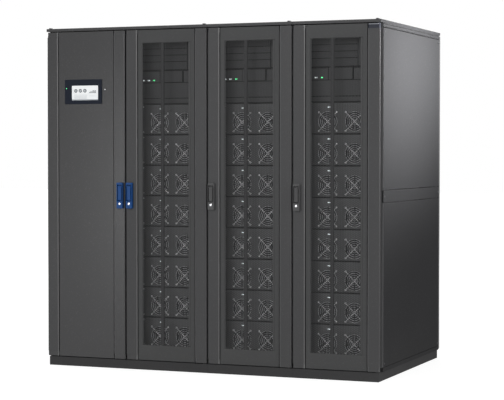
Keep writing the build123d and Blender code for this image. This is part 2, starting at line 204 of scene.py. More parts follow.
# Name: node group, colour, specular, roughness, and other values of the group or the shader
FINISHES = {
    "Body coat": ("Powder coat", "body", 0.34, 0.46, {}),
    "Plain door coat": ("Powder coat", "panel", 0.48, 0.24, {}),
    "Painted stile edge highlight": ("Powder coat", "edge", 0.5, 0.34, {}),
    "Side coat": ("Powder coat", "side", 0.0, 0.50, {}),
    "Plinth coat": ("Powder coat", "plinth", 0.0, 0.50, {}),
    "Painted gap light coat": ("Powder coat", "post_painted_light", 0.3, 0.50, {}),
    "Stiffener coat darkened as painted shade": ("Powder coat", "bar", 0.2, 0.50, {}),
    "Perforated coat": ("Powder coat", "perforated", 0.30, 0.46, {}),
    "Module paint": ("Powder coat", "module", 0.25, 0.50, {"Grain scale": 500.0}),
    "Control paint": ("Powder coat", "control", 0.25, 0.50, {}),
    "Control cover paint": ("Powder coat", "cover", 0.25, 0.50, {}),
    "Painted recess shade": ("Powder coat", "recess_painted_shade", 0.1, 0.60, {}),
    "Rack steel": ("Plated steel", "rack", 0.5, 0.42, {"Metallic": 0.8}),
    "Zinc screw": ("Plated steel", "steel", 0.5, 0.30, {"Metallic": 0.25, "Coat Weight": 0.4}),
    "Bright steel": ("Plated steel", "steel", 0.5, 0.24, {"Metallic": 1.0}),
    "Guard wire": ("Plated steel", "wire", 0.5, 0.38, {"Metallic": 0.2}),
    "Black plastic lightened as painted light": ("Moulded plastic", "fan", 0.2, 0.42, {}),
    "Blue handle": ("Moulded plastic", "blue", 0.25, 0.36, {}),
    "Black handle": ("Moulded plastic", "black", 0.25, 0.36, {}),
    "Handle shell plastic lightened as painted light": ("Moulded plastic", "shell", 0.25, 0.40, {}),
    "Bezel plastic": ("Moulded plastic", "bezel", 0.15, 0.35, {}),
    "Cap plastic": ("Moulded plastic", "cap", 0.22, 0.40, {}),
    "Trim paint": ("Moulded plastic", "trim", 0.4, 0.35, {}),
    "Painted shade rubber": ("Moulded plastic", "shade_line", 0.1, 0.35, {}),
    "Reading grey": ("Moulded plastic", "dark_reading", 0.5, 0.35, {}),
    "Reading pale": ("Moulded plastic", "pale_reading", 0.5, 0.35, {}),
}
# Name: colour and strength
LIGHTS = {
    "Green light": ("green_light", 2.2),
    "White light": ("white_light", 0.9),
    "Lit glass": ("glass", 0.40),
}


# Node helpers


def place_node(tree, kind, **settings):
    node = tree.nodes.new(kind)
    for key, value in settings.items():
        setattr(node, key, value)
    return node


def feed(tree, socket, value):
    """Links a socket to a node's output, or sets it to a number or a colour."""
    if isinstance(value, bpy.types.NodeSocket):
        tree.links.new(value, socket)
    elif socket.type == "RGBA":
        socket.default_value = (*value, 1.0)
    else:
        socket.default_value = value


def noise(tree, vector, scale, detail):
    node = place_node(tree, "ShaderNodeTexNoise")
    node.inputs["Detail"].default_value = detail
    feed(tree, node.inputs["Scale"], scale)
    feed(tree, node.inputs["Vector"], vector)
    return node.outputs["Fac"]


def spread(tree, value, low, high, ends="To"):
    """Turns a value from 0 to 1 into one from low to high, each a number or a socket."""
    node = place_node(tree, "ShaderNodeMapRange")
    feed(tree, node.inputs["Value"], value)
    feed(tree, node.inputs[ends + " Min"], low)
    feed(tree, node.inputs[ends + " Max"], high)
    return node.outputs["Result"]


def stretch(tree, value, low, high):
    """Stretches the part of a value between low and high to 0 to 1."""
    return spread(tree, value, low, high, ends="From")


def calculate(tree, operation, first, second):
    node = place_node(tree, "ShaderNodeMath", operation=operation)
    feed(tree, node.inputs[0], first)
    feed(tree, node.inputs[1], second)
    return node.outputs["Value"]


def blend_colours(tree, share, first, second):
    node = place_node(tree, "ShaderNodeMix", data_type="RGBA")
    factor, first_colour, second_colour = (node.inputs[index] for index in (0, 6, 7))
    feed(tree, factor, share)
    feed(tree, first_colour, first)
    feed(tree, second_colour, second)
    return node.outputs[2]


def toned(tree, base, value):
    """A colour made lighter or darker by a value."""
    node = place_node(tree, "ShaderNodeHueSaturation")
    feed(tree, node.inputs["Value"], value)
    feed(tree, node.inputs["Color"], base)
    return node.outputs["Color"]


def seen_directly(tree):
    """1 where the camera, a reflection or clear glass sees the surface, and 0 for its light."""
    path = place_node(tree, "ShaderNodeLightPath")
    seen = calculate(tree, "MAXIMUM", path.outputs["Is Camera Ray"], path.outputs["Is Glossy Ray"])
    return calculate(tree, "MAXIMUM", seen, path.outputs["Is Transmission Ray"])


def new_group(name, sockets):
    """A shader node group with its named inputs, and the ends to link to."""
    tree = bpy.data.node_groups.new(name, "ShaderNodeTree")
    for title, kind, value in sockets:
        socket = tree.interface.new_socket(title, in_out="INPUT", socket_type=kind)
        if value is not None:
            socket.default_value = value
    return tree, tree.nodes.new("NodeGroupInput").outputs, tree.nodes.new("NodeGroupOutput")


def group_outputs(tree, end, base, roughness, bump, strength, distance):
    """Puts out the colour and roughness that a finish has, and a normal from its bumps."""
    relief = place_node(tree, "ShaderNodeBump")
    relief.inputs["Strength"].default_value = strength
    relief.inputs["Distance"].default_value = distance
    feed(tree, relief.inputs["Height"], bump)
    for title, kind, value in (
        ("Color", "NodeSocketColor", base),
        ("Roughness", "NodeSocketFloat", roughness),
        ("Normal", "NodeSocketVector", relief.outputs["Normal"]),
    ):
        tree.interface.new_socket(title, in_out="OUTPUT", socket_type=kind)
        feed(tree, end.inputs[title], value)
    return tree


def coat_group(name):
    """Powder coat: fine grain, faint clouds of tone, and a little dust low down."""
    speck_colour, speck_share = (0.5, 0.5, 0.5), 0.06
    dust_colour, dust_share, dust_top = (0.42, 0.40, 0.37), 0.035, 0.30
    tree, start, end = new_group(name, [
        ("Vector", "NodeSocketVector", None),
        ("Color", "NodeSocketColor", (0.07, 0.07, 0.07, 1.0)),
        ("Grain scale", "NodeSocketFloat", 700.0),
        ("Cloud", "NodeSocketFloat", 0.10),
        ("Roughness", "NodeSocketFloat", 0.45),
    ])
    vector = start["Vector"]
    grain = noise(tree, vector, start["Grain scale"], detail=2.0)
    clouds = noise(tree, vector, scale=2.6, detail=3.0)
    fine = noise(tree, vector, scale=160.0, detail=2.0)
    shade = calculate(tree, "MULTIPLY", spread(tree, clouds, low=1.0, high=0.0), start["Cloud"])
    cloudy = toned(tree, start["Color"], calculate(tree, "SUBTRACT", 1.0, shade))
    specks = calculate(tree, "MULTIPLY", stretch(tree, fine, low=0.60, high=0.78), speck_share)
    speckled = blend_colours(tree, specks, cloudy, speck_colour)
    height = place_node(tree, "ShaderNodeSeparateXYZ")
    feed(tree, height.inputs["Vector"], vector)
    near_floor = stretch(tree, height.outputs["Z"], low=dust_top, high=0.0)
    dust = calculate(tree, "MULTIPLY", calculate(tree, "MULTIPLY", near_floor, clouds), dust_share)
    dusty = blend_colours(tree, dust, speckled, dust_colour)
    uneven = spread(tree, grain, low=-0.05, high=0.05)
    roughness = calculate(tree, "ADD", start["Roughness"], uneven)
    return group_outputs(tree, end, dusty, roughness, grain, strength=0.35, distance=0.00025)


def metal_group(name):
    """Plated or drawn steel: fine lines along one way and slightly uneven shine."""
    tree, start, end = new_group(name, [
        ("Vector", "NodeSocketVector", None),
        ("Color", "NodeSocketColor", (0.6, 0.6, 0.6, 1.0)),
        ("Line scale", "NodeSocketFloat", 400.0),
        ("Roughness", "NodeSocketFloat", 0.3),
    ])
    stretched = place_node(tree, "ShaderNodeMapping")
    stretched.inputs["Scale"].default_value = (1.0, 1.0, 0.08)
    feed(tree, stretched.inputs["Vector"], start["Vector"])
    lines = noise(tree, stretched.outputs["Vector"], start["Line scale"], detail=3.0)
    patches = noise(tree, start["Vector"], scale=35.0, detail=3.0)
    patchy = toned(tree, start["Color"], spread(tree, patches, low=0.78, high=1.12))
    uneven = spread(tree, lines, low=-0.08, high=0.10)
    roughness = calculate(tree, "ADD", start["Roughness"], uneven)
    return group_outputs(tree, end, patchy, roughness, lines, strength=0.25, distance=0.0001)


def plastic_group(name):
    """Moulded plastic: a fine matt texture and a slight change of tone."""
    tree, start, end = new_group(name, [
        ("Vector", "NodeSocketVector", None),
        ("Color", "NodeSocketColor", (0.1, 0.1, 0.1, 1.0)),
        ("Texture scale", "NodeSocketFloat", 1200.0),
        ("Roughness", "NodeSocketFloat", 0.35),
    ])
    texture = noise(tree, start["Vector"], start["Texture scale"], detail=2.0)
    flow = noise(tree, start["Vector"], scale=25.0, detail=2.0)
    shaded = toned(tree, start["Color"], spread(tree, flow, low=0.88, high=1.12))
    uneven = spread(tree, texture, low=-0.06, high=0.08)
    roughness = calculate(tree, "ADD", start["Roughness"], uneven)
    return group_outputs(tree, end, shaded, roughness, texture, strength=0.2, distance=0.0001)


GROUP_MAKERS = {
    "Powder coat": coat_group,
    "Plated steel": metal_group,
    "Moulded plastic": plastic_group,
}


def new_material(name):
    """A bare material, its node tree and shader, and its Object coordinates."""
    material = bpy.data.materials.new(name)
    material.use_nodes = True
    tree = material.node_tree
    coordinates = place_node(tree, "ShaderNodeTexCoord")
    return material, tree, tree.nodes["Principled BSDF"], coordinates.outputs["Object"]


def finish_material(name):
    """A material whose colour, roughness and normal come from one of the groups."""
    group_name, colour_name, specular, roughness, others = FINISHES[name]
    group = bpy.data.node_groups.get(group_name) or GROUP_MAKERS[group_name](group_name)
    material, tree, shader, vector = new_material(name)
    node = place_node(tree, "ShaderNodeGroup", node_tree=group)
    feed(tree, node.inputs["Vector"], vector)
    feed(tree, node.inputs["Color"], getattr(bpy.context.scene.cabinet_colours, colour_name))
    node.inputs["Roughness"].default_value = roughness
    shader.inputs["Specular IOR Level"].default_value = specular
    for title, value in others.items():
        owner = node if title in node.inputs else shader
        owner.inputs[title].default_value = value
    feed(tree, shader.inputs["Base Color"], node.outputs["Color"])
    feed(tree, shader.inputs["Roughness"], node.outputs["Roughness"])
    feed(tree, shader.inputs["Normal"], node.outputs["Normal"])
    return material


def light_material(name):
    """A lit indicator or glass, with a faint grain in its glow."""
    colour_name, strength = LIGHTS[name]
    base = getattr(bpy.context.scene.cabinet_colours, colour_name)
    material, tree, shader, vector = new_material(name)
    grain = noise(tree, vector, scale=600.0, detail=1.0)
    glow = blend_colours(tree, grain, [part * 0.8 for part in base], base)
    feed(tree, shader.inputs["Base Color"], glow)
    feed(tree, shader.inputs["Emission Color"], glow)
    shader.inputs["Emission Strength"].default_value = strength
    return material


def material_named(name):
    """A finish or light of the tables, made when it is first asked for."""
    if name in bpy.data.materials:
        return bpy.data.materials[name]
    return light_material(name) if name in LIGHTS else finish_material(name)


# Mesh helpers


def faces_of(verts):
    return list({face for vert in verts for face in vert.link_faces})


def edges_of(verts):
    return list({edge for vert in verts for edge in vert.link_edges})


def paint(verts, slot):
    for face in faces_of(verts):
        face.material_index = slot


def round_edges(bm, edges, width, segments=2, clamp=False):
    bmesh.ops.bevel(
        bm, geom=edges, offset=width, offset_type="OFFSET", segments=segments, profile=0.5,
        affect="EDGES", clamp_overlap=clamp, material=-1,
    )


def draw_out(bm, edges, vector):
    """Extrudes edges along a vector, and gives the new points and the new open edges."""
    made = bmesh.ops.extrude_edge_only(bm, edges=edges)["geom"]
    verts = [item for item in made if isinstance(item, bmesh.types.BMVert)]
    rim = [item for item in made if isinstance(item, bmesh.types.BMEdge) and item.is_boundary]
    bmesh.ops.translate(bm, verts=verts, vec=vector)
    return verts, rim


def add_box(bm, low, high, slot=0):
    """A box between two corners."""
    low, high = Vector(low), Vector(high)
    matrix = Matrix.Translation((high + low) / 2) @ Matrix.Diagonal((*(high - low), 1.0))
    verts = bmesh.ops.create_cube(bm, size=1.0, matrix=matrix)["verts"]
    paint(verts, slot)
    return verts


def add_soft_box(bm, low, high, edge, slot=0):
    """A box with a small flat on every edge."""
    round_edges(bm, edges_of(add_box(bm, low, high, slot)), edge, segments=1)


def facing(spot, direction, lift=0.0):
    """Takes +Z to the given direction at a spot, from a lift above it."""
    turn = Vector(direction).to_track_quat("Z", "Y").to_matrix().to_4x4()
    return Matrix.Translation(Vector(spot)) @ turn @ Matrix.Translation((0, 0, lift))


def add_disc(bm, spot, direction, radius, depth, sides=24, slot=0, taper=1.0):
    """A round disc or rod that stands on a spot."""
    verts = bmesh.ops.create_cone(
        bm, cap_ends=True, cap_tris=False, segments=sides, radius1=radius,
        radius2=radius * taper, depth=depth, matrix=facing(spot, direction, depth / 2),
    )["verts"]
    paint(verts, slot)
    return verts


def add_screw(bm, spot, direction, radius, slot=0):
    """A low screw head with a socket, standing on a spot of the surface."""
    rise, rim = radius * 0.5, radius * 0.32
    verts = add_disc(bm, spot, direction, radius, rise, sides=8, taper=0.78)
    outward = Vector(direction).normalized()
    top = max(faces_of(verts), key=lambda face: face.calc_center_median().dot(outward))
    bmesh.ops.inset_individual(bm, faces=[top], thickness=rim, use_even_offset=True)
    bmesh.ops.translate(bm, verts=top.verts, vec=outward * -rise * 0.6)
    paint([*verts, *top.verts], slot)


def add_dome(bm, spot, direction, radius, rise, slot=0, sides=24, steps=8):
    """A shallow round cap."""
    flatten = Matrix.Diagonal((1, 1, rise / radius, 1))
    verts = bmesh.ops.create_uvsphere(
        bm, u_segments=sides, v_segments=steps, radius=radius,
        matrix=facing(spot, direction) @ flatten,
    )["verts"]
    paint(verts, slot)


def add_ring(bm, spot, direction, radius, wire, sides=24, slot=0):
    """A round wire bent to a ring."""
    section = bmesh.ops.create_circle(
        bm, cap_ends=False, segments=5, radius=wire, matrix=Matrix.Rotation(math.pi / 2, 4, "X"),
    )["verts"]
    bmesh.ops.translate(bm, verts=section, vec=(radius, 0, 0))
    before = set(bm.verts)
    bmesh.ops.spin(
        bm, geom=section + edges_of(section), cent=(0, 0, 0), axis=(0, 0, 1), dvec=(0, 0, 0),
        angle=2 * math.pi, steps=sides, use_merge=True, use_duplicate=False,
    )
    ring = [vert for vert in bm.verts if vert not in before]
    ring += [vert for vert in section if vert.is_valid]
    bmesh.ops.transform(bm, verts=ring, matrix=facing(spot, direction))
    paint(ring, slot)


def unit_grid(bm, columns, rows):
    """A grid one unit wide and deep, with each point's column and row."""
    verts = bmesh.ops.create_grid(
        bm, x_segments=columns, y_segments=rows, size=0.5, matrix=Matrix.Identity(4),
    )["verts"]
    return [
        (vert, round((vert.co.x + 0.5) * columns), round((vert.co.y + 0.5) * rows))
        for vert in verts
    ]


def grid_sheet(bm, across, up, depth):
    """A flat sheet facing the front, with its lines at the given places."""
    for vert, column, row in unit_grid(bm, len(across) - 1, len(up) - 1):
        vert.co = Vector((across[column], depth, up[row]))


def copies(bm, offsets):
    """Repeats all that the mesh holds at each offset."""
    geometry = [*bm.verts, *bm.edges, *bm.faces]
    for offset in offsets:
        made = bmesh.ops.duplicate(bm, geom=geometry)["geom"]
        verts = [item for item in made if isinstance(item, bmesh.types.BMVert)]
        bmesh.ops.translate(bm, verts=verts, vec=offset)


def turn_to_front(bm):
    """Turns the faces of an open sheet to the front."""
    foremost = min(bm.faces, key=lambda face: face.calc_center_median().y)
    if foremost.normal.y > 0:
        bmesh.ops.reverse_faces(bm, faces=bm.faces)


def finish_piece(bm, name, body, materials, replaced=(), open_sheet=False):
    """Turns a finished mesh into a piece that rides on its body."""
    bmesh.ops.recalc_face_normals(bm, faces=bm.faces)
    if open_sheet:
        turn_to_front(bm)
    mesh = bpy.data.meshes.new(name)
    bm.to_mesh(mesh)
    bm.free()
    for material in materials:
        mesh.materials.append(material_named(material))
    mesh.shade_smooth()
    mesh.set_sharp_from_angle(angle=math.radians(35))
    piece = bpy.data.objects.new(name, mesh)
    bpy.context.scene.collection.objects.link(piece)
    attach(piece, body)
    if replaced:
        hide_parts(*replaced)
    return piece


def add_modifier(piece, name, kind, **values):
    modifier = piece.modifiers.new(name, kind)
    for key, value in values.items():
        setattr(modifier, key, value)


def node_box(name):
    low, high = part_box(name)
    return low, high, (low + high) / 2


def give_material(node, name):
    """Puts a material in every slot of a CAD node."""
    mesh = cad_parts[node].data
    if not mesh.materials:
        mesh.materials.append(material_named(name))
    for index in range(len(mesh.materials)):
        mesh.materials[index] = material_named(name)


def softened_copy(node, name, body, materials, edge, segments=2, extra=None):
    """The shape of a CAD node with its edges rounded."""
    bm = bmesh.new()
    bm.from_mesh(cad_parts[node].data)
    bmesh.ops.remove_doubles(bm, verts=bm.verts, dist=MM * 0.01)
    bmesh.ops.dissolve_limit(
        bm, angle_limit=math.radians(1), verts=bm.verts, edges=bm.edges,
        use_dissolve_boundaries=False,
    )
    for face in bm.faces:
        face.material_index = 0
    corner = math.radians(30)
    sharp = [e for e in bm.edges if e.is_manifold and e.calc_face_angle(0.0) > corner]
    round_edges(bm, sharp, edge, segments, clamp=True)
    if extra:
        extra(bm)
    piece = finish_piece(bm, name, body, materials, replaced=[node])
    add_modifier(piece, "Flat faces", "WEIGHTED_NORMAL", keep_sharp=True)


def tint_folds(bm):
    """Side coat outside, and on the front edges that show in the gaps a pale coat as painted light
    in their shade.
    """
    bm.normal_update()
    for face in bm.faces:
        face.material_index = 2 if face.normal.y < -0.8 else 1


def tint_roof(bm):
    """Body coat on top and front, side coat on the ends, and underneath a pale coat as painted
    light in the gap above the doors.
    """
    bm.normal_update()
    for face in bm.faces:
        underneath, at_end = face.normal.z < -0.8, abs(face.normal.x) > 0.5
        face.material_index = 2 if underneath else int(at_end)


def module_layout(bay, sizes):
    """The stack's corners, its face, the lowest fans' centres and the other rows' offsets."""
    low, high, centre = node_box(f"power_modules_{bay}")
    face = node_box(f"control_unit_{bay}")[0].y + sizes.front_step
    fan_z = low.z + sizes.height / 2 - sizes.fan_drop
    fans = [Vector((centre.x + side * sizes.fan_spacing / 2, face, fan_z)) for side in (-1, 1)]
    pitch = (high.z - low.z - sizes.height) / (sizes.rows - 1)
    return low, high, face, fans, [(0, 0, row * pitch) for row in range(1, sizes.rows)]


class CABINET_OT_coats(bpy.types.Operator):
    """Coat the cabinet: frames, posts, roofs, sides, rear panels, doors and plinth, with painted
    light in the gaps and seams and painted highlights and shade on the stiles
    """

    bl_idname = "cabinet.coats"
    bl_label = "Coats of the cabinet"

    def execute(self, context):
        for node, coat in (
            ("wiring_cover", "Body coat"),
            ("corner_posts", "Painted gap light coat"),
            ("base_frames", "Side coat"),
            ("side_rails", "Side coat"),
            ("plinth_frames", "Plinth coat"),
            # The posts get the pale coat as painted light in the seams between the doors
            ("module_racks", "Rack steel"),
            ("hinge_pins", "Stiffener coat darkened as painted shade"),
            ("door_panel_1", "Plain door coat"),
        ):
            give_material(node, coat)
        edge = context.scene.cabinet_fittings.fold_edge
        self.folded("top_frames", "top_trays", edge, tint_folds)
        for side in ("left", "right"):
            self.folded(f"{side}_side_panels", f"{side}_side_sheets", edge, tint_folds)
        for bay in all_bays:
            self.folded(f"roof_cover_{bay}", f"roof_sheet_{bay}", edge, tint_roof)
            give_material(f"rear_panel_{bay}", "Body coat")
            self.stiles(bay, context.scene.cabinet_doors)
        return {"FINISHED"}

    def folded(self, node, name, edge, tint):
        """Folded sheet of the cabinet, with a coat of its own on each side and painted light on the
        faces seen in the gaps.
        """
        coats = ["Body coat", "Side coat", "Painted gap light coat"]
        softened_copy(node, name, "cabinet", coats, edge, extra=tint)

    def stiles(self, bay, sizes):
        """Two coated stiles with their caps, and the bar behind the holes darkened as painted
        shade; the inner rounded edges and the lips in the seams get pale coats as painted
        highlights and light, and the lips at the ends of the row dark rubber as painted shade.
        """
        low, high, centre = node_box(f"door_profiles_{bay}")
        face_coat = "Plain door coat" if bay == first_bay else "Body coat"
        coats = [
            face_coat, "Stiffener coat darkened as painted shade", "Cap plastic", "Painted stile edge highlight", "Painted shade rubber",
            "Painted gap light coat",
        ]

        def coat_of(face):
            middle = face.calc_center_median()
            side = 1 if middle.x > centre.x else -1
            outward = face.normal.x * side
            lip = outward > 0.9 and middle.y < low.y + sizes.lip_depth
            rounded = -0.97 < outward < -0.2 and face.normal.y < -0.2
            # Painted light and shade: the bar is darkened, the inner rounded edges and the lips in
            # the seams get pale coats, and the lips at the ends of the row dark rubber
            if abs(middle.x - centre.x) < (high.x - low.x) / 4:
                return "Stiffener coat darkened as painted shade"
            if middle.z > high.z - sizes.cap_height and (bay, side) == (last_bay, 1):
                return "Cap plastic"
            if lip and (bay, side) in ((first_bay, -1), (last_bay, 1)):
                return "Painted shade rubber"
            if lip or (rounded and side > 0):
                return "Painted gap light coat"
            return "Painted stile edge highlight" if rounded else face_coat

        def tint(bm):
            bm.normal_update()
            for face in bm.faces:
                face.material_index = coats.index(coat_of(face))

        softened_copy(
            f"door_profiles_{bay}", f"door_stiles_{bay}", f"door_{bay}", coats,
            sizes.stile_edge, segments=1, extra=tint,
        )
        if bay == last_bay:
            self.cap_line(low, high)

    def cap_line(self, low, high):
        """The pale line across the dark cap at the end of the row."""
        left_gap, right_gap, foot_gap, top_gap = 5 * MM, 7 * MM, 7 * MM, 3 * MM
        behind_front, depth, edge = 0.2 * MM, 1.3 * MM, 0.3 * MM
        panel_edge = node_box(f"door_panel_{last_bay}")[1].x
        front = low.y + behind_front
        bm = bmesh.new()
        add_soft_box(
            bm, (panel_edge + left_gap, front, high.z - foot_gap),
            (high.x - right_gap, front + depth, high.z - top_gap), edge,
        )
        finish_piece(bm, "cap_line", f"door_{last_bay}", ["Trim paint"])


class CABINET_OT_perforated_doors(bpy.types.Operator):
    """Build the folded, perforated sheets of the three power bays"""

    bl_idname = "cabinet.perforated_doors"
    bl_label = "Perforated doors"

    def execute(self, context):
        for bay in power_bays:
            self.border(bay, context.scene.cabinet_doors)
            self.field(bay, context.scene.cabinet_doors)
        return {"FINISHED"}

    def border(self, bay, sizes):
        """The plain strips round the holes, with folded sides and flanges behind."""
        low, high, centre = node_box(f"door_panel_{bay}")
        half = (high.x - low.x) / 2 - sizes.reveal
        inner = half - sizes.side_border
        across = [centre.x + x for x in (-half, -inner, inner, half)]
        up = [low.z, low.z + sizes.bottom_border, high.z - sizes.top_border, high.z]
        bm = bmesh.new()
        grid_sheet(bm, across, up, low.y)
        outline = [edge for edge in bm.edges if edge.is_boundary]
        middle = min(bm.faces, key=lambda face: (face.calc_center_median() - centre).length)
        bmesh.ops.delete(bm, geom=[middle], context="FACES_ONLY")
        rear = draw_out(bm, outline, (0, sizes.fold - sizes.sheet, 0))[1]
        for side, limit in ((-1, across[0]), (1, across[-1])):
            upright = [e for e in rear if all(abs(v.co.x - limit) < MM for v in e.verts)]
            draw_out(bm, upright, (side * sizes.reveal, 0, 0))
        piece = finish_piece(
            bm, f"door_sheet_{bay}", f"door_{bay}", ["Perforated coat"],
            open_sheet=True,
        )
        add_modifier(
            piece, "Thickness", "SOLIDIFY", thickness=sizes.sheet, offset=-1.0,
            use_even_offset=True,
        )
        add_modifier(
            piece, "Edge", "BEVEL", width=sizes.sheet_edge, segments=2, limit_method="ANGLE",
        )

    def field(self, bay, sizes):
        """A honeycomb: every third point of a lattice of triangles goes, and leaves a hexagon."""
        low, high, centre = node_box(f"door_panel_{bay}")
        width = high.x - low.x - 2 * (sizes.reveal + sizes.side_border)
        height = high.z - low.z - sizes.top_border - sizes.bottom_border
        columns = 3 * round(width * math.sqrt(3) / sizes.hole_pitch / 3)
        rows = 2 * round(height / sizes.hole_pitch)
        shift = width / columns / 4
        bm = bmesh.new()
        centres = []
        for vert, column, row in unit_grid(bm, columns, rows):
            aside = 0.0
            if 0 < column < columns:
                aside = shift if row % 2 else -shift
            vert.co = Vector((
                centre.x + vert.co.x * width + aside,
                low.y + sizes.field_recess,
                low.z + sizes.bottom_border + (vert.co.y + 0.5) * height,
            ))
            if (column - row % 2) % 3 == 2 and 1 < column < columns - 1 and 0 < row < rows:
                centres.append(vert)
        bmesh.ops.triangulate(bm, faces=bm.faces, quad_method="SHORT_EDGE", ngon_method="BEAUTY")
        bmesh.ops.dissolve_verts(bm, verts=centres, use_face_split=False, use_boundary_tear=False)
        cells = [face for face in bm.faces if len(face.verts) == 6]
        web = (sizes.hole_pitch - sizes.hole_width) / 2
        bmesh.ops.inset_individual(bm, faces=cells, thickness=web, use_even_offset=True)
        bmesh.ops.delete(bm, geom=cells, context="FACES_ONLY")
        piece = finish_piece(
            bm, f"perforated_field_{bay}", f"door_{bay}", ["Perforated coat"],
            replaced=[f"door_panel_{bay}"], open_sheet=True,
        )
        add_modifier(piece, "Thickness", "SOLIDIFY", thickness=sizes.field_sheet, offset=-1.0)


class CABINET_OT_power_modules(bpy.types.Operator):
    """Build the power modules with their fan openings, pulls and screws"""

    bl_idname = "cabinet.power_modules"
    bl_label = "Power modules"

    def execute(self, context):
        sizes = context.scene.cabinet_modules
        for bay in power_bays:
            low, high, face, fans, offsets = module_layout(bay, sizes)
            pulls = (low.x + sizes.pull_edge, high.x - sizes.pull_edge)
            bm = bmesh.new()
            self.module_box(bm, low, high, face, fans, sizes)
            for x in pulls:
                self.pull(bm, x, face, low.z + sizes.height / 2, sizes)
            self.screws(bm, low.z, face, zip(fans, pulls), sizes)
            self.light(bm, (low.x + high.x) / 2, face, low.z + sizes.height)
            copies(bm, offsets)
            finish_piece(
                bm, f"module_stack_{bay}", "cabinet",
                ["Module paint", "Black plastic lightened as painted light", "Zinc screw", "White light"],
                replaced=[f"power_modules_{bay}"],
            )
        return {"FINISHED"}

    def module_box(self, bm, low, high, face, fans, sizes):
        """One module: a face with two round fan openings, and the box behind it."""
        half, fan_z = sizes.fan_frame / 2, fans[0].z
        across = [low.x, *(fan.x + x for fan in fans for x in (-half, half)), high.x]
        grid_sheet(bm, across, [low.z, fan_z - half, fan_z + half, low.z + sizes.height], face)
        outline = [edge for edge in bm.edges if edge.is_boundary]
        squares = [
            min(bm.faces, key=lambda square: (square.calc_center_median() - fan).length)
            for fan in fans
        ]
        for square, fan in zip(squares, fans):
            self.fan_opening(bm, square, fan, sizes)
        rear = draw_out(bm, outline, (0, high.y - face, 0))[1]
        bmesh.ops.contextual_create(bm, geom=rear)
        round_edges(bm, [edge for edge in outline if edge.is_valid], sizes.rim)

    def fan_opening(self, bm, square, centre, sizes):
        """Turns a square of the face into a round opening with a dark wall and floor."""
        outer = list(square.edges)
        bmesh.ops.delete(bm, geom=[square], context="FACES_ONLY")
        inner = edges_of(bmesh.ops.create_circle(
            bm, cap_ends=False, segments=24, radius=sizes.fan_radius,
            matrix=facing(centre, toward_front),
        )["verts"])
        bmesh.ops.bridge_loops(bm, edges=outer + inner)
        deep, floor_edges = draw_out(bm, inner, (0, sizes.fan_depth, 0))
        bmesh.ops.contextual_create(bm, geom=floor_edges)
        paint(deep, 1)

    def pull(self, bm, x, face, z, sizes):
        """A bow handle: a round bar with two bent corners."""
        radius, bend = sizes.pull_radius, sizes.pull_bend
        leg = sizes.pull_proud - radius - bend
        half = sizes.pull_length / 2 - radius
        before = set(bm.verts)
        edges = edges_of(bmesh.ops.create_circle(
            bm, cap_ends=False, segments=8, radius=radius,
            matrix=facing((x, face, z - half), toward_front),
        )["verts"])
        edges = draw_out(bm, edges, (0, -leg, 0))[1]
        edges = self.bent(bm, edges, (x, face - leg, z - half + bend))
        edges = draw_out(bm, edges, (0, 0, 2 * (half - bend)))[1]
        edges = self.bent(bm, edges, (x, face - leg, z + half - bend))
        draw_out(bm, edges, (0, leg, 0))
        paint([vert for vert in bm.verts if vert not in before], 1)

    def bent(self, bm, edges, centre):
        """Carries a ring of edges a quarter turn about a centre, and gives the last ones."""
        verts = list({vert for edge in edges for vert in edge.verts})
        made = bmesh.ops.spin(
            bm, geom=verts + edges, cent=centre, axis=(-1, 0, 0), dvec=(0, 0, 0),
            angle=math.pi / 2, steps=4, use_merge=False, use_duplicate=False,
        )["geom_last"]
        return [item for item in made if isinstance(item, bmesh.types.BMEdge)]

    def screws(self, bm, foot, face, sides, sizes):
        """Round screw heads: four about each fan, one above and one below each pull."""
        fan_proud, rise = 2 * MM, sizes.screw_radius * 0.6
        reach, inset = sizes.screw_spacing / 2, sizes.screw_inset
        for fan, edge_x in sides:
            spots = [
                fan + Vector((x, -fan_proud, z)) for x in (-reach, reach) for z in (-reach, reach)
            ]
            spots += [(edge_x, face, foot + z) for z in (inset, sizes.height - inset)]
            for spot in spots:
                add_dome(bm, spot, toward_front, sizes.screw_radius, rise, slot=2, sides=8, steps=4)

    def light(self, bm, middle, face, top):
        """The small lamp between the fans."""
        left, right, drop, half_height = -81 * MM, -63 * MM, 24 * MM, 2.5 * MM
        proud, sunk, edge = 2 * MM, MM, 0.6 * MM
        add_soft_box(
            bm, (middle + left, face - proud, top - drop - half_height),
            (middle + right, face + sunk, top - drop + half_height), edge, slot=3,
        )


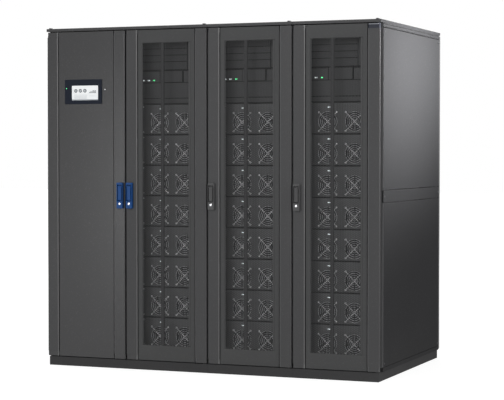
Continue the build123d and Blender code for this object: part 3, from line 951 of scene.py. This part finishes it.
class CABINET_OT_fans(bpy.types.Operator):
    """Build the fan rotors and the wire guards in front of them"""

    bl_idname = "cabinet.fans"
    bl_label = "Fans and guards"

    def execute(self, context):
        sizes = context.scene.cabinet_modules
        for bay in power_bays:
            *_, fans, offsets = module_layout(bay, sizes)
            rotors, guards = bmesh.new(), bmesh.new()
            for fan in fans:
                self.rotor(rotors, fan, sizes)
                self.guard(guards, fan, sizes)
            copies(rotors, offsets)
            copies(guards, offsets)
            finish_piece(rotors, f"fan_rotors_{bay}", "cabinet", ["Black plastic lightened as painted light"])
            finish_piece(
                guards, f"wire_guards_{bay}", "cabinet", ["Guard wire", "Zinc screw"],
                replaced=[f"fan_guards_{bay}"],
            )
        return {"FINISHED"}

    def rotor(self, bm, place, sizes):
        """A hub with curved blades, set back in its opening."""
        front_gap, back_gap, tip_gap, thickness = 8 * MM, MM, 3 * MM, 1.2 * MM
        blade_place, blade_depth, flattening = 22 * MM, 16 * MM, 0.3
        breadth, sweep = 0.62, 0.35
        add_disc(
            bm, place + Vector((0, sizes.fan_depth - back_gap, 0)), toward_front,
            sizes.hub_radius, sizes.fan_depth - back_gap - front_gap, sides=20, taper=0.92,
        )
        before = set(bm.verts)
        grid = [vert for vert, column, row in unit_grid(bm, 4, 3)]
        inner, outer = sizes.hub_radius * 0.9, sizes.fan_radius - tip_gap
        for vert in grid:
            along, around = vert.co.x + 0.5, vert.co.y
            radius = inner + (outer - inner) * along
            turn = around * breadth + sweep * along * along
            depth = blade_place + around * blade_depth * (1 - flattening * along)
            vert.co = place + Vector((radius * math.cos(turn), depth, radius * math.sin(turn)))
        bmesh.ops.solidify(bm, geom=faces_of(grid), thickness=thickness)
        blade = [vert for vert in bm.verts if vert not in before]
        bmesh.ops.spin(
            bm, geom=blade + edges_of(blade) + faces_of(blade), cent=place, axis=(0, 1, 0),
            dvec=(0, 0, 0), angle=2 * math.pi * (sizes.blades - 1) / sizes.blades,
            steps=sizes.blades - 1, use_merge=False, use_duplicate=True,
        )

    def guard(self, bm, place, sizes):
        """Rings of wire on two crossing legs that reach the fan's screws."""
        rim_gap, reach = 2 * MM, sizes.screw_spacing / 2
        front = place + Vector((0, -sizes.wire_radius, 0))
        for ring in range(sizes.rings):
            radius = sizes.fan_radius * (1 - ring / sizes.rings) - rim_gap
            add_ring(bm, front, toward_front, radius, sizes.wire_radius, sides=28)
        legs = front + Vector((0, -sizes.leg_radius, 0))
        for tilt in (-1, 1):
            leg = Vector((reach, 0, tilt * reach))
            add_disc(bm, legs - leg, leg, sizes.leg_radius, 2 * leg.length, sides=6, slot=1)


class CABINET_OT_control_units(bpy.types.Operator):
    """Build the control units with their plates and running lights"""

    bl_idname = "cabinet.control_units"
    bl_label = "Control units"

    # Left, right, foot and top in mm, from the middle of the unit's upper edge
    plates = (
        (-205, 98, -48, -2), (-205, 98, -86, -48), (-205, 98, -124, -86),
        (-205, 98, -171, -124), (98, 205, -171, -2),
    )
    covers = (
        (-205, -76, -246, -178), (72, 205, -246, -178), (-205, 205, -337, -246),
        (-205, 205, -368, -337),
    )
    display = (-71, 67, -242, -179)
    # Left, right, foot and top in mm, and the finish
    lights = (
        (-185, -177, -235, -229, "White light"), (-157, -141, -235, -229, "White light"),
        (-120, -108, -235, -229, "Green light"),
    )
    finishes = (
        "Control paint", "Control cover paint", "Black plastic lightened as painted light", "White light", "Green light",
    )

    def execute(self, context):
        for bay in power_bays:
            # Painted shade: the whole unit is dark behind the plates, so the gaps round them read
            # as shaded lines
            give_material(f"control_unit_{bay}", "Painted recess shade")
            low, high, centre = node_box(f"control_unit_{bay}")
            face = low.y + context.scene.cabinet_modules.front_step
            top = Vector((centre.x, face, high.z))
            bm = bmesh.new()
            for *outline, finish in self.lights:
                self.plate(bm, top, outline, finish, front=5, back=-1, edge=0.8)
            for outline in self.plates:
                self.screwed_plate(bm, top, outline, "Control paint")
            for outline in self.covers:
                self.screwed_plate(bm, top, outline, "Control cover paint")
            self.plate(bm, top, self.display, "Control cover paint", front=10, back=7, edge=0.7)
            finish_piece(bm, f"control_fittings_{bay}", "cabinet", self.finishes)
        return {"FINISHED"}

    def plate(self, bm, top, outline, finish, front, back, edge):
        """A plate between two distances before the face, all in mm, and its corners."""
        left, right, foot, head = outline
        low = top + Vector((left, -front, foot)) * MM
        high = top + Vector((right, -back, head)) * MM
        add_soft_box(bm, low, high, edge * MM, slot=self.finishes.index(finish))
        return low, high

    def screwed_plate(self, bm, top, outline, finish):
        """A plate with a screw at each end and a gap round it, where the dark face behind paints
        shade.
        """
        gap, rise, inset, radius = 2.5, 3, 7 * MM, 3 * MM
        dark = self.finishes.index("Black plastic lightened as painted light")
        left, right, foot, head = outline
        shrunk = (left + gap, right - gap, foot + gap, head - gap)
        low, high = self.plate(bm, top, shrunk, finish, front=rise, back=-1, edge=0.7)
        for x in (low.x + inset, high.x - inset):
            add_screw(bm, (x, low.y, (low.z + high.z) / 2), toward_front, radius, slot=dark)


class CABINET_OT_handles(bpy.types.Operator):
    """Build the moulded door handles with their levers and locks"""

    bl_idname = "cabinet.handles"
    bl_label = "Door handles"

    def execute(self, context):
        sizes = context.scene.cabinet_fittings
        blue = ("Blue handle", "Blue handle", "handle_blue")
        # The grey shell of the black handles is painted light against the shade round the levers
        black = ("Handle shell plastic lightened as painted light", "Black handle", "handle_black")
        for bay, (shell, grip, slot) in zip(all_bays, (blue, blue, black, black)):
            low, _, centre = node_box(f"handle_housing_{bay}")
            spot = Vector((centre.x, low.y, low.z + sizes.lock_rise))

            def lock(bm):
                rise, collar, wire = 1.6 * MM, sizes.lock_radius * 1.15, 0.9 * MM
                add_dome(bm, spot, toward_front, sizes.lock_radius, rise, slot=1)
                add_ring(bm, spot, toward_front, collar, wire)

            softened_copy(
                f"handle_housing_{bay}", f"handle_shell_{bay}", f"door_{bay}",
                [shell, "Bright steel"], sizes.edge, extra=lock,
            )
            softened_copy(
                f"handle_lever_{bay}", f"handle_grip_{bay}", f"lever_{bay}", [grip],
                sizes.edge,
            )
        return {"FINISHED"}


class CABINET_OT_touch_screen(bpy.types.Operator):
    """Build the touch screen's frame and the plain readings on its glass"""

    bl_idname = "cabinet.touch_screen"
    bl_label = "Touch screen"

    def execute(self, context):
        softened_copy(
            "touch_screen_bezel", "screen_frame", "door_1", ["Bezel plastic"],
            context.scene.cabinet_fittings.edge,
        )
        give_material("touch_screen", "Lit glass")
        self.readings()
        self.fittings()
        return {"FINISHED"}

    def fittings(self):
        """The running light on the frame, and the round lock beside it."""
        low, high, centre = node_box("touch_screen_bezel")
        light = Vector((low.x + 11 * MM, low.y, centre.z + 20 * MM))
        lock = Vector((high.x + 20 * MM, high.y, centre.z + 12 * MM))
        disc_depth = 1.5 * MM
        bm = bmesh.new()
        add_dome(bm, light, toward_front, radius=2.2 * MM, rise=0.8 * MM, slot=0)
        add_disc(bm, lock, toward_front, radius=9 * MM, depth=disc_depth, slot=2, taper=0.92)
        keyhole = lock + toward_front * disc_depth
        add_dome(bm, keyhole, toward_front, radius=3 * MM, rise=1.4 * MM, slot=1)
        finish_piece(
            bm, "screen_fittings", "door_1", ["Green light", "Bright steel", "Black plastic lightened as painted light"],
        )

    def readings(self):
        """Three dials, a small chart and lines, in mm from the glass's upper left corner."""
        low, high, _ = node_box("touch_screen")
        thick = 0.15 * MM
        bm = bmesh.new()

        def bar(left, right, foot, top, slot):
            add_box(
                bm, (low.x + left * MM, low.y - thick, high.z - foot * MM),
                (low.x + right * MM, low.y + thick, high.z - top * MM), slot,
            )

        for across in (26, 56, 86):
            spot = Vector((low.x + across * MM, low.y, high.z - 30 * MM))
            add_ring(bm, spot, toward_front, radius=9 * MM, wire=2.2 * MM, sides=28)
            add_disc(bm, spot, toward_front, radius=6 * MM, depth=thick, slot=1)
        for foot in (56, 63, 70, 77):
            bar(14, 100, foot, foot - 2, slot=1)
        for column, rise in enumerate((6, 9, 13, 10, 15, 18, 14, 19, 16)):
            left = 114 + column * 5.4
            bar(left, left + 3, 44, 44 - rise, slot=0)
        bar(110, 164, 45, 44, slot=0)
        bar(112, 162, 62, 60, slot=1)
        bar(0, 172, 86, 80, slot=1)
        finish_piece(bm, "screen_readings", "door_1", ["Reading grey", "Reading pale"])


class CABINET_OT_fasteners(bpy.types.Operator):
    """Place the small fasteners of the panels"""

    bl_idname = "cabinet.fasteners"
    bl_label = "Panel fasteners"

    def execute(self, context):
        sizes = context.scene.cabinet_fittings
        radius, inset = sizes.screw_radius, sizes.side_screw_inset
        rail_radius, roof_inset, roof_front, rear_rows = radius * 1.3, inset * 1.5, inset * 3, 5
        bm = bmesh.new()
        for node, side in (("left_side_panels", -1), ("right_side_panels", 1)):
            low, high, _ = node_box(node)
            face = high.x if side > 0 else low.x
            for y in (low.y + inset, high.y - inset):
                for z in (low.z + inset, high.z - inset):
                    add_screw(bm, (face, y, z), (side, 0, 0), radius)
        low, high, centre = node_box("side_rails")
        for side, face in ((-1, low.x), (1, high.x)):
            for y in (low.y + inset, high.y - inset):
                add_screw(bm, (face, y, centre.z), (side, 0, 0), rail_radius)
        for bay in all_bays:
            low, high, _ = node_box(f"rear_panel_{bay}")
            step = (high.z - low.z - 2 * inset) / (rear_rows - 1)
            for x in (low.x + inset, high.x - inset):
                for row in range(rear_rows):
                    add_screw(bm, (x, high.y, low.z + inset + row * step), (0, 1, 0), radius)
            low, high, _ = node_box(f"roof_cover_{bay}")
            for x in (low.x + roof_inset, high.x - roof_inset):
                for y in (low.y + roof_front, high.y - roof_inset):
                    add_screw(bm, (x, y, high.z), (0, 0, 1), radius)
        finish_piece(bm, "panel_fasteners", "cabinet", ["Black plastic lightened as painted light"])
        self.shade_lines(sizes)
        return {"FINISHED"}

    def shade_lines(self, sizes):
        """Thin dark rubber lines along the top frame, on both ends of the row, as painted shade
        lines.
        """
        low, high, _ = node_box("top_frames")
        proud, height = sizes.shade_line_proud, sizes.shade_line_height
        foot_gap, top_gap = MM, 3 * MM
        bm = bmesh.new()
        for z in (low.z + foot_gap, high.z - height - top_gap):
            for x in (low.x, high.x):
                add_box(bm, (x - proud, low.y, z), (x + proud, high.y, z + height))
        finish_piece(bm, "roof_shade_lines", "cabinet", ["Painted shade rubber"])


# Name: place, target, width and height, power, and the angle that it spreads over
LAMPS = {
    "Key": ((-1.2, -8.5, 4.8), (0.0, -0.6, 0.9), (4.0, 3.0), 180, 180),
    "Front fill": ((3.0, -9.0, 3.0), (0.0, -0.6, 0.9), (4.0, 3.0), 130, 180),
    "Door box": ((-3.1, -7.5, 0.9), (-0.6, -0.6, 1.0), (1.2, 2.0), 33, 180),
    "Side box": ((3.2, 0.35, 2.5), (1.04, -0.1, 1.78), (1.5, 0.4), 25, 42),
    "Right fill": ((8.0, -1.5, 2.0), (1.04, 0.0, 1.0), (4.0, 3.0), 270, 180),
    "Back fill": ((-3.0, 8.0, 4.5), (0.0, 0.6, 1.0), (4.0, 3.0), 170, 180),
    "Left fill": ((-8.0, 3.0, 2.5), (-1.04, 0.2, 1.0), (4.0, 3.0), 220, 180),
}


class CABINET_OT_stage(bpy.types.Operator):
    """Set the floor, the soft lights and the camera"""

    bl_idname = "cabinet.stage"
    bl_label = "Stage"

    def execute(self, context):
        sizes = context.scene.cabinet_stage
        self.camera(context, sizes)
        self.world(context, sizes)
        self.floor(sizes)
        for name, values in LAMPS.items():
            self.lamp(name, *values)
        context.scene.view_settings.view_transform = "Standard"
        return {"FINISHED"}

    def camera(self, context, sizes):
        data = bpy.data.cameras.new("Camera")
        data.lens = sizes.lens
        data.sensor_width = 36.0
        camera = bpy.data.objects.new("Camera", data)
        camera.location = (sizes.camera_x, sizes.camera_y, sizes.camera_z)
        camera.rotation_euler = (sizes.pitch, 0.0, sizes.yaw)
        context.scene.collection.objects.link(camera)
        context.scene.camera = camera

    def world(self, context, sizes):
        """White where it is seen, and a soft light on everything."""
        world = bpy.data.worlds.new("Studio")
        context.scene.world = world
        world.use_nodes = True
        tree = world.node_tree
        tree.nodes.clear()
        background = place_node(tree, "ShaderNodeBackground")
        strength = spread(tree, seen_directly(tree), low=sizes.sky, high=1.0)
        feed(tree, background.inputs["Strength"], strength)
        feed(tree, background.inputs["Color"], (1.0, 1.0, 1.0))
        output = place_node(tree, "ShaderNodeOutputWorld")
        feed(tree, output.inputs["Surface"], background.outputs["Background"])

    def floor(self, sizes):
        """A wide pale floor that is seen as white, from a little grey near the object."""
        half_width, grey_within, white_beyond = 40.0, 1.5, 7.0
        bm = bmesh.new()
        bmesh.ops.create_grid(
            bm, x_segments=2, y_segments=2, size=half_width, matrix=Matrix.Identity(4),
        )
        mesh = bpy.data.meshes.new("floor")
        bm.to_mesh(mesh)
        bm.free()
        floor = bpy.data.objects.new("floor", mesh)
        bpy.context.scene.collection.objects.link(floor)
        material, tree, shader, vector = new_material("Pale floor")
        shader.inputs["Roughness"].default_value = 0.9
        feed(tree, shader.inputs["Base Color"], sizes.floor)
        away = place_node(tree, "ShaderNodeVectorMath", operation="LENGTH")
        feed(tree, away.inputs[0], vector)
        far = stretch(tree, away.outputs["Value"], low=grey_within, high=white_beyond)
        lift = spread(tree, far, low=sizes.floor_lift, high=1.0)
        seen = calculate(tree, "MULTIPLY", lift, seen_directly(tree))
        feed(tree, shader.inputs["Emission Strength"], seen)
        feed(tree, shader.inputs["Emission Color"], (1.0, 1.0, 1.0))
        mesh.materials.append(material)

    def lamp(self, name, place, target, size, power, spread_angle):
        data = bpy.data.lights.new(name, "AREA")
        data.spread = math.radians(spread_angle)
        data.shape = "RECTANGLE"
        data.size, data.size_y = size
        data.energy = power
        lamp = bpy.data.objects.new(name, data)
        lamp.location = place
        aim = Vector(target) - Vector(place)
        lamp.rotation_euler = aim.to_track_quat("-Z", "Y").to_euler()
        bpy.context.scene.collection.objects.link(lamp)


class CABINET_PT_panel(bpy.types.Panel):
    """Lists the pieces of the cabinet row"""

    bl_idname = "CABINET_PT_panel"
    bl_label = "Power cabinets"
    bl_space_type = "VIEW_3D"
    bl_region_type = "UI"
    bl_category = "Cabinets"

    def draw(self, context):
        for operator in piece_operators:
            self.layout.operator(operator.bl_idname)


piece_operators = (
    CABINET_OT_coats,
    CABINET_OT_perforated_doors,
    CABINET_OT_power_modules,
    CABINET_OT_fans,
    CABINET_OT_control_units,
    CABINET_OT_handles,
    CABINET_OT_touch_screen,
    CABINET_OT_fasteners,
    CABINET_OT_stage,
)
settings = {
    "cabinet_colours": CabinetColours,
    "cabinet_doors": DoorSizes,
    "cabinet_modules": ModuleSizes,
    "cabinet_fittings": FittingSizes,
    "cabinet_stage": StageSizes,
}


def register():
    for group in settings.values():
        bpy.utils.register_class(group)
    for name, group in settings.items():
        setattr(bpy.types.Scene, name, PointerProperty(type=group))
    for operator in piece_operators:
        bpy.utils.register_class(operator)
    bpy.utils.register_class(CABINET_PT_panel)


def unregister():
    bpy.utils.unregister_class(CABINET_PT_panel)
    for operator in reversed(piece_operators):
        bpy.utils.unregister_class(operator)
    for name, group in settings.items():
        delattr(bpy.types.Scene, name)
        bpy.utils.unregister_class(group)


def main():
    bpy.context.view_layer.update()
    register()
    bpy.ops.cabinet.coats()
    bpy.ops.cabinet.perforated_doors()
    bpy.ops.cabinet.power_modules()
    bpy.ops.cabinet.fans()
    bpy.ops.cabinet.control_units()
    bpy.ops.cabinet.handles()
    bpy.ops.cabinet.touch_screen()
    bpy.ops.cabinet.fasteners()
    bpy.ops.cabinet.stage()


if __name__ == "__main__":
    main()
